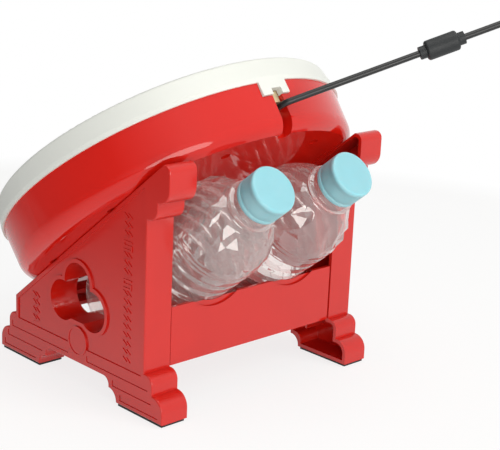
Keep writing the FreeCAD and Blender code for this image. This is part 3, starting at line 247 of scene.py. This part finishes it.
def clear_pet():
    """Stretch-blown PET wall, 0.4 mm thin: light passes almost unbent, and both faces mirror.

    The coat carries that double reflection. Diffuse and shadow rays pass straight through, so the
    lamps reach what lies behind the bottle.
    """
    material, tree, shader, place = start_material(
        "Clear PET", IOR=1.06, Roughness=0.03, Transmission_Weight=0.87,
        Coat_Weight=1.0, Coat_IOR=1.95, Coat_Roughness=0.03,
    )
    patches = add_node(tree, "ShaderNodeTexNoise", inputs={
        "Vector": place, "Scale": 60.0, "Detail": 2.0,
    })
    # Painted colour: the faint pink of the base colour stands in for the red stand seen through the
    # wall; clear PET itself has none.
    tint = add_node(tree, "ShaderNodeMix", {"data_type": "RGBA"}, {
        "Factor": patches.outputs["Fac"], "A": linear("fff1ee"), "B": linear("fffaf8"),
    })
    tree.links.new(tint.outputs["Result"], shader.inputs["Base Color"])
    rays = add_node(tree, "ShaderNodeLightPath")
    passed = add_node(tree, "ShaderNodeBsdfTransparent", inputs={"Color": linear("f4f7f7")})
    lit = add_node(tree, "ShaderNodeMixShader", inputs={
        0: rays.outputs["Is Diffuse Ray"], 1: shader.outputs["BSDF"], 2: passed.outputs["BSDF"],
    })
    both = add_node(tree, "ShaderNodeMixShader", inputs={
        0: rays.outputs["Is Shadow Ray"], 1: lit.outputs["Shader"], 2: passed.outputs["BSDF"],
    })
    set_surface(tree, both.outputs["Shader"])
    return material


def blue_polypropylene():
    """Moulded polypropylene cap, pale blue, satin and faintly translucent."""
    material, tree, shader, place = start_material(
        "Blue polypropylene", IOR=1.49, Specular_IOR_Level=0.9,
        Subsurface_Weight=0.5, Subsurface_Scale=0.006, Subsurface_Radius=(0.4, 0.9, 1.0),
    )
    vary(tree, shader, place, "8ac6d3", "92ccda", 0.008, (0.4, 0.5))
    grain(tree, shader, place, 0.0006, 0.00002)
    return material


def dark_grey_abs():
    """Dark grey ABS with a fine spark-eroded texture."""
    material, tree, shader, place = start_material("Dark grey ABS", IOR=1.54)
    vary(tree, shader, place, "2c2d2f", "36373a", 0.01, (0.42, 0.55))
    grain(tree, shader, place, 0.0005, 0.00004)
    return material


def zinc_steel():
    """Zinc-plated screw steel with fine turning marks."""
    material, tree, shader, place = start_material("Zinc-plated steel", Metallic=1.0)
    vary(tree, shader, place, "a9abad", "c2c4c6", 0.002, (0.25, 0.4))
    grain(tree, shader, place, 0.0003, 0.00002)
    return material


def nickel_steel():
    """Nickel-plated plug shell, bright, with drawing marks along it."""
    material, tree, shader, place = start_material("Nickel-plated steel", Metallic=1.0)
    vary(tree, shader, place, "b9b8b2", "c9c8c2", 0.003, (0.18, 0.28))
    grain(tree, shader, place, 0.0004, 0.00001)
    return material


def brass_disc():
    """Rolled brass of the sensor discs."""
    material, tree, shader, place = start_material("Rolled brass", Metallic=1.0)
    vary(tree, shader, place, "c9a650", "d8b968", 0.004, (0.25, 0.38))
    grain(tree, shader, place, 0.0005, 0.00001)
    return material


def green_laminate():
    """Glass-epoxy laminate under a green solder mask, its weave faint at 300 waves to the metre."""
    material, tree, shader, place = start_material("Green laminate", IOR=1.55)
    vary(tree, shader, place, "0d5a32", "12683b", 0.003, (0.3, 0.4))
    weave = add_node(tree, "ShaderNodeTexWave", inputs={
        "Vector": place, "Scale": 300.0, "Distortion": 1.0,
    })
    emboss(tree, shader, weave.outputs["Fac"], Distance=0.00002)
    return material


def sponge_rubber():
    """Open black sponge of the foam rings, dull with pores, 1200 of them to the metre."""
    material, tree, shader, place = start_material("Black sponge rubber", IOR=1.5)
    vary(tree, shader, place, "1a1a1b", "2b2b2c", 0.002, (0.85, 0.95))
    pores = add_node(tree, "ShaderNodeTexVoronoi", inputs={"Vector": place, "Scale": 1200.0})
    emboss(tree, shader, pores.outputs["Distance"], Distance=0.0003)
    return material


def grey_silicone():
    """Silicone sheet under the buttons, dull and slightly translucent."""
    material, tree, shader, place = start_material("Grey silicone", IOR=1.41)
    vary(tree, shader, place, "8c8c8a", "989896", 0.004, (0.55, 0.68))
    grain(tree, shader, place, 0.0006, 0.00002)
    return material


def dress(nodes, material):
    """Gives CAD nodes their material."""
    for name in nodes:
        item = frame["nodes"][name]
        item.data.materials.clear()
        item.data.materials.append(material)


# ---------------------------------------------------------------- pieces


def make_piece(shape, name, material, body, replaced):
    """Turns a shape into a piece that rides on a body in place of a CAD node."""
    mesh = bpy.data.meshes.new(name)
    shape.to_mesh(mesh)
    shape.free()
    mesh.materials.append(material)
    piece = bpy.data.objects.new(name, mesh)
    bpy.context.collection.objects.link(piece)
    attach(piece, body)
    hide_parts(replaced)


def set_in_place(shape, place):
    """Moves a shape drawn in millimetres to its place and points its faces outwards."""
    shape.transform(place @ Matrix.Scale(MM, 4))
    bmesh.ops.remove_doubles(shape, verts=shape.verts, dist=1e-7)
    bmesh.ops.recalc_face_normals(shape, faces=shape.faces)


def revolve(section, steps):
    """Smooth surface of a half section, given as radius and height pairs, spun about Z."""
    shape = bmesh.new()
    ends = [shape.verts.new((radius, 0, height)) for radius, height in section]
    edges = [shape.edges.new(pair) for pair in zip(ends, ends[1:])]
    bmesh.ops.spin(
        shape, geom=ends + edges, cent=(0, 0, 0), axis=(0, 0, 1), angle=math.tau, steps=steps,
        use_merge=True,
    )
    bmesh.ops.remove_doubles(shape, verts=shape.verts, dist=1e-4)
    for face in shape.faces:
        face.smooth = True
    return shape


def join_shape(shape, part):
    """Adds the faces of a part to a shape and frees the part."""
    mesh = bpy.data.meshes.new("part")
    part.to_mesh(mesh)
    part.free()
    shape.from_mesh(mesh)
    bpy.data.meshes.remove(mesh)


CAP_PIVOT = 0.160  # metres from a bottle's base to the point its cap turns about


def bottle_place(side):
    """Turns a bottle's own frame, base centre and +Z along it, into the product's."""
    turn = JOINTS["cap_%s_turn" % side]
    along = Vector(turn["axis"]).normalized()
    base = Vector(turn["pos_m"]) - CAP_PIVOT * along
    across = Vector((1, 0, 0))
    axes = Matrix((across, along.cross(across), along)).transposed().to_4x4()
    return Matrix.Translation(base) @ axes


# The bottles and caps are drawn in millimetres above the bottle's base.
BODY_RADIUS, NECK_RADIUS, HEEL_RADIUS = 32.4, 14.0, 7
BODY_TOP, SHOULDER_RISE = 112, 31.5
SHOULDER_SOFTNESS, SHOULDER_FULLNESS = 1.15, 0.72  # exponents of its curve
SHOULDER_LOW, SHOULDER_HIGH = 116.5, 141.0  # the cut part of it
# Ribs as middle, half width and depth: nine of the body and two fine rings above them.
RIBS = [(21.0 + 10.0 * step, 2.2, 1.6) for step in range(9)]
RIBS += [(109.8, 1.0, 0.6), (113.0, 1.0, 0.6)]


def bottle_radius(height):
    """Outside radius of the bottle's body and shoulder at a height."""
    if height < HEEL_RADIUS:
        reach = math.sqrt(HEEL_RADIUS ** 2 - (HEEL_RADIUS - height) ** 2)
        return BODY_RADIUS - HEEL_RADIUS + reach
    for middle, half, depth in RIBS:
        if abs(height - middle) < half:
            wave = 1 + math.cos(math.pi * (height - middle) / half)
            return BODY_RADIUS - depth * 0.5 * wave
    if height < BODY_TOP:
        return BODY_RADIUS
    rise = min((height - BODY_TOP) / SHOULDER_RISE, 1)
    fall = math.cos(math.pi / 2 * rise ** SHOULDER_SOFTNESS) ** SHOULDER_FULLNESS
    return NECK_RADIUS + (BODY_RADIUS - NECK_RADIUS) * fall


FACET_WIDTH = 8
FACET_LEVELS = (119.5, 124, 128.5, 132.5, 136, 138.8)
FACET_TURN, FACET_LIFT = 0.3, 1.2  # how far a corner strays: share of a step, and height
FACET_DENT, FACET_BULGE = -1.6, 0.8


def add_cut_shoulder(shape, seed, steps):
    """Closes the shoulder with flat three-sided facets that meet in ridges, like cut crystal."""
    chance = random.Random(seed)

    def on_surface(angle, height):
        radius = bottle_radius(height)
        return shape.verts.new((radius * math.cos(angle), radius * math.sin(angle), height))

    def is_end(face):
        levels = {round(vert.co.z, 3) for vert in face.verts}
        return levels in ({SHOULDER_LOW}, {SHOULDER_HIGH})

    rings = [on_surface(math.tau * step / steps, height)
             for height in (SHOULDER_LOW, SHOULDER_HIGH) for step in range(steps)]
    corners = []
    for height in FACET_LEVELS:
        count = round(math.tau * bottle_radius(height) / FACET_WIDTH)
        start = chance.uniform(0, math.tau)
        for step in range(count):
            angle = start + math.tau * (step + chance.uniform(-FACET_TURN, FACET_TURN)) / count
            lift = chance.uniform(-FACET_LIFT, FACET_LIFT)
            corners.append(on_surface(angle, height + lift))
    hull = bmesh.ops.convex_hull(shape, input=rings + corners, use_existing_faces=False)
    faces = [item for item in hull["geom"] if isinstance(item, bmesh.types.BMFace)]
    ends = [face for face in faces if is_end(face)]
    bmesh.ops.delete(shape, geom=ends, context="FACES_ONLY")
    for vert in corners:
        radial = Vector((vert.co.x, vert.co.y, 0)).normalized()
        vert.co += radial * chance.uniform(FACET_DENT, FACET_BULGE)


BOTTLE_STEPS, KNURLS = 192, 120
FIRST_SEED = 11
BODY_LEVELS = [7.5 + 0.625 * step for step in range(175)] + [SHOULDER_LOW]


def bottles(clear, blue):
    """Two drinks bottles: ribbed body, cut shoulder, neck with its collar, and a knurled cap."""
    base = [(0, 5), (12, 5), (19, 4.9), (22, 3), (24, 0)]
    heel = [(bottle_radius(height), height) for height in (0.05, 0.4, 1, 2, 3.2, 4.6, 6)]
    body = [(bottle_radius(height), height) for height in BODY_LEVELS]
    throat = [(bottle_radius(SHOULDER_HIGH), SHOULDER_HIGH), (17.0, 142.0), (15.0, 142.8),
              (14.2, 143.6), (14.0, 144.6), (14.0, 146.2), (14.3, 146.5)]
    collar = [(16.2, 146.5), (16.5, 146.8), (16.5, 148.2), (16.2, 148.5), (13.8, 148.5)]
    mouth = [(13.5, 148.9), (13.5, 158), (13.5, 168.0), (13.2, 168.3), (12.9, 168.0)]
    for index, side in enumerate(("right", "left")):
        bottle, cap = "bottle_" + side, "cap_" + side
        shape = revolve(base + heel + body, BOTTLE_STEPS)
        join_shape(shape, revolve(throat + collar + mouth, BOTTLE_STEPS))
        add_cut_shoulder(shape, FIRST_SEED + index, BOTTLE_STEPS)
        bmesh.ops.remove_doubles(shape, verts=shape.verts, dist=1e-3)
        set_in_place(shape, bottle_place(side))
        make_piece(shape, "clear_" + bottle, clear, bottle, bottle)
        shape = revolve(cap_section(), 2 * KNURLS)
        cut_knurls(shape)
        set_in_place(shape, bottle_place(side))
        make_piece(shape, "knurled_" + cap, blue, cap, cap)


CAP_TOP, CAP_FOOT, CAP_BAND = 170.0, 153.7, 3.0
CAP_RADIUS, CAP_EDGE = 15, 1.5
KNURL_TOP, KNURL_DEPTH = 167.2, 0.4


def cap_section():
    """Half section of a cap: rounded top edge, skirt, and the thin line over its tamper band."""
    edge = [(CAP_RADIUS - CAP_EDGE + CAP_EDGE * math.sin(angle),
             CAP_TOP - CAP_EDGE * (1 - math.cos(angle)))
            for angle in [math.pi / 2 * step / 5 for step in range(6)]]
    band = CAP_FOOT + CAP_BAND
    skirt = [(CAP_RADIUS, height) for height in (167.4, 167.0, 164, 160, band + 0.5)]
    skirt += [(14.7, band + 0.3), (14.7, band)]
    skirt += [(CAP_RADIUS, band - 0.2), (CAP_RADIUS, CAP_FOOT + 0.2), (14.8, CAP_FOOT)]
    inside = [(13.8, CAP_FOOT), (13.8, 168.5), (0, 168.5)]
    return [(0, CAP_TOP), (6, CAP_TOP)] + edge + skirt + inside


def cut_knurls(shape):
    """Upright grooves round the skirt, above the band: every other column of corners moves in."""
    for vert in shape.verts:
        reach = math.hypot(vert.co.x, vert.co.y)
        if reach < CAP_RADIUS - 0.05 or not CAP_FOOT + CAP_BAND + 0.2 < vert.co.z < KNURL_TOP:
            continue
        column = round(math.atan2(vert.co.y, vert.co.x) / math.tau * 2 * KNURLS)
        if column % 2:
            vert.co.x *= 1 - KNURL_DEPTH / reach
            vert.co.y *= 1 - KNURL_DEPTH / reach


PARTING, REAR_WALL, SIDE_BAND = 0.0009, 0.0031, 0.0002  # metres: the line, the wall's depth, its edge
CREASE = math.radians(25)


def parted_cradle(red):
    """The cradle with its rear wall a little short of the posts, so that a dark line parts them."""
    shape = bmesh.new()
    shape.from_mesh(frame["nodes"]["bottle_cradle"].data)
    bmesh.ops.remove_doubles(shape, verts=shape.verts, dist=1e-6)
    rear = max(vert.co.y for vert in shape.verts)
    wall = [vert for vert in shape.verts if vert.co.y > rear - REAR_WALL]
    side = max(vert.co.x for vert in wall)
    for way in (-1, 1):
        edge = [vert for vert in wall if way * vert.co.x > side - SIDE_BAND]
        bmesh.ops.translate(shape, verts=edge, vec=(-way * PARTING, 0, 0))
    for face in shape.faces:
        face.smooth = True
    for edge in shape.edges:
        edge.smooth = edge.calc_face_angle(math.pi) < CREASE
    make_piece(shape, "parted_cradle", red, "stand", "bottle_cradle")


# ---------------------------------------------------------------- studio

FLOOR_RADIUS, FLOOR_GAP = 6, 0.0002
FADE_START, FADE_END, NEAR_GLOW = 0.25, 0.6, 0.8
AMBIENT = 0.34  # the surroundings' share of light on matt surfaces
FRONT_RIGHT, DUSK_DEPTH = (0.707, -0.707, 0), 0.8
FLOOR_DUSK, SKY_DUSK = (0.1, 0.4), (-0.1, 0.6)


def seen_directly(tree, rays):
    """One for rays from the camera, from a gloss or through glass, and nought for the others."""
    seen = add_node(tree, "ShaderNodeMath", {"operation": "MAXIMUM"}, {
        0: rays.outputs["Is Camera Ray"], 1: rays.outputs["Is Glossy Ray"],
    })
    seen = add_node(tree, "ShaderNodeMath", {"operation": "MAXIMUM"}, {
        0: seen.outputs[0], 1: rays.outputs["Is Transmission Ray"],
    })
    return seen.outputs[0]


def dusk(tree, rays, place, start, end):
    """Light that falls from one to a fifth towards the front right, where a gloss mirrors it."""
    side = add_node(tree, "ShaderNodeVectorMath", {"operation": "DOT_PRODUCT"}, {
        0: place, 1: FRONT_RIGHT,
    })
    share = add_node(tree, "ShaderNodeMapRange", inputs={
        "Value": side.outputs["Value"], "From Min": start, "From Max": end,
        "To Min": 0.0, "To Max": DUSK_DEPTH,
    })
    mirrored = add_node(tree, "ShaderNodeMath", {"operation": "MULTIPLY"}, {
        0: share.outputs["Result"], 1: rays.outputs["Is Glossy Ray"],
    })
    rest = add_node(tree, "ShaderNodeMath", {"operation": "SUBTRACT"}, {
        0: 1.0, 1: mirrored.outputs[0],
    })
    return rest.outputs[0]


def make_floor():
    """Pale paper that glows white away from the product and wherever a ray sees it directly."""
    floor_shape = bmesh.new()
    bmesh.ops.create_circle(floor_shape, cap_ends=True, radius=FLOOR_RADIUS, segments=64)
    mesh = bpy.data.meshes.new("floor")
    floor_shape.to_mesh(mesh)
    floor_shape.free()
    floor = bpy.data.objects.new("floor", mesh)
    floor.location.z = -FLOOR_GAP
    bpy.context.collection.objects.link(floor)
    material, tree, shader, place = start_material(
        "Studio paper", Roughness=0.9, Specular_IOR_Level=0.1,
    )
    shader.inputs["Base Color"].default_value = linear("fafaf9")
    far = add_node(tree, "ShaderNodeVectorMath", {"operation": "LENGTH"}, {0: place})
    fade = add_node(tree, "ShaderNodeMapRange", inputs={
        "Value": far.outputs["Value"], "From Min": FADE_START, "From Max": FADE_END,
    })
    rays = add_node(tree, "ShaderNodeLightPath")
    white = add_node(tree, "ShaderNodeEmission", inputs={
        "Color": (1, 1, 1, 1), "Strength": dusk(tree, rays, place, *FLOOR_DUSK),
    })
    near = add_node(tree, "ShaderNodeMath", {"operation": "MULTIPLY"}, {
        0: seen_directly(tree, rays), 1: NEAR_GLOW,
    })
    share = add_node(tree, "ShaderNodeMath", {"operation": "MAXIMUM"}, {
        0: fade.outputs["Result"], 1: near.outputs[0],
    })
    both = add_node(tree, "ShaderNodeMixShader", inputs={
        0: share.outputs[0], 1: shader.outputs["BSDF"], 2: white.outputs["Emission"],
    })
    set_surface(tree, both.outputs["Shader"])
    mesh.materials.append(material)


def make_world():
    """White surroundings that light the product less than they show."""
    world = bpy.data.worlds.new("Studio")
    bpy.context.scene.world = world
    world.use_nodes = True
    tree = world.node_tree
    rays = add_node(tree, "ShaderNodeLightPath")
    level = add_node(tree, "ShaderNodeMapRange", inputs={
        "Value": seen_directly(tree, rays), "To Min": AMBIENT, "To Max": 1.0,
    })
    way = add_node(tree, "ShaderNodeTexCoord").outputs["Generated"]
    strength = add_node(tree, "ShaderNodeMath", {"operation": "MULTIPLY"}, {
        0: level.outputs["Result"], 1: dusk(tree, rays, way, *SKY_DUSK),
    })
    sky = tree.nodes["Background"]
    sky.inputs["Color"].default_value = (1, 1, 1, 1)
    tree.links.new(strength.outputs[0], sky.inputs["Strength"])


LAMPS = (  # name, place, diameter, watts
    ("Key", (-0.5, 1.2, 1.1), 1.0, 10.5),
    ("Top", (0.1, 0.1, 1.5), 1.2, 7.5),
    ("Low", (0.6, 1.05, 0.14), 0.9, 8.5),
)
LAMP_COLOUR, LAMP_TARGET = (1.0, 0.98, 0.94), (0, 0, 0.1)


def make_lamps():
    """Soft lamps: a key behind the product, one over it and a low one beside the camera."""
    for name, place, size, power in LAMPS:
        lamp = bpy.data.lights.new(name, "AREA")
        lamp.shape = "DISK"
        lamp.size = size
        lamp.energy = power
        lamp.color = LAMP_COLOUR
        item = bpy.data.objects.new(name, lamp)
        item.location = place
        towards = Vector(LAMP_TARGET) - Vector(place)
        item.rotation_euler = towards.to_track_quat("-Z", "Y").to_euler()
        item.visible_glossy = name != "Key"  # its mirror image would be a hard patch on the drum
        bpy.context.collection.objects.link(item)


# ---------------------------------------------------------------- the product

set_camera()
cable = make_cable()
jacket = cable_jacket()
cable.data.materials.append(jacket)

shell_red = moulded_red_abs()
dress(["side_frame_left", "side_frame_right", "bottle_cradle", "front_rail"], shell_red)
parted_cradle(shell_red)
dress(["drum_shell"], polished_red_abs())
dress(["rim_ring"], moulded_white_abs())
dress(["head_left", "head_right", "edge_left", "edge_right"], ivory_elastomer())
dress(["foot_pad_%s_%s" % (end, side) for end in ("front", "rear") for side in ("left", "right")],
      black_rubber())
dress(["inner_deck"], dark_grey_abs())
dress(["direction_pad", "button_top", "button_right", "button_bottom", "button_left",
       "minus_button", "capture_button", "home_button", "plus_button"],
      dark_grey_abs())
dress(["head_foam", "edge_foam"], sponge_rubber())
dress(["sensor_discs"], brass_disc())
dress(["circuit_board"], green_laminate())
dress(["button_membrane"], grey_silicone())
dress(["drum_screws", "rim_screws", "stand_screws"], zinc_steel())
dress(["strain_relief"], beige_nylon())
dress(["ferrite_core"], ferrite_case())
dress(["usb_plug_body"], jacket)
dress(["usb_plug_shell"], nickel_steel())
bottles(clear_pet(), blue_polypropylene())
make_floor()
make_world()
make_lamps()
bpy.context.scene.view_settings.view_transform = "Standard"

bpy.context.view_layer.update()
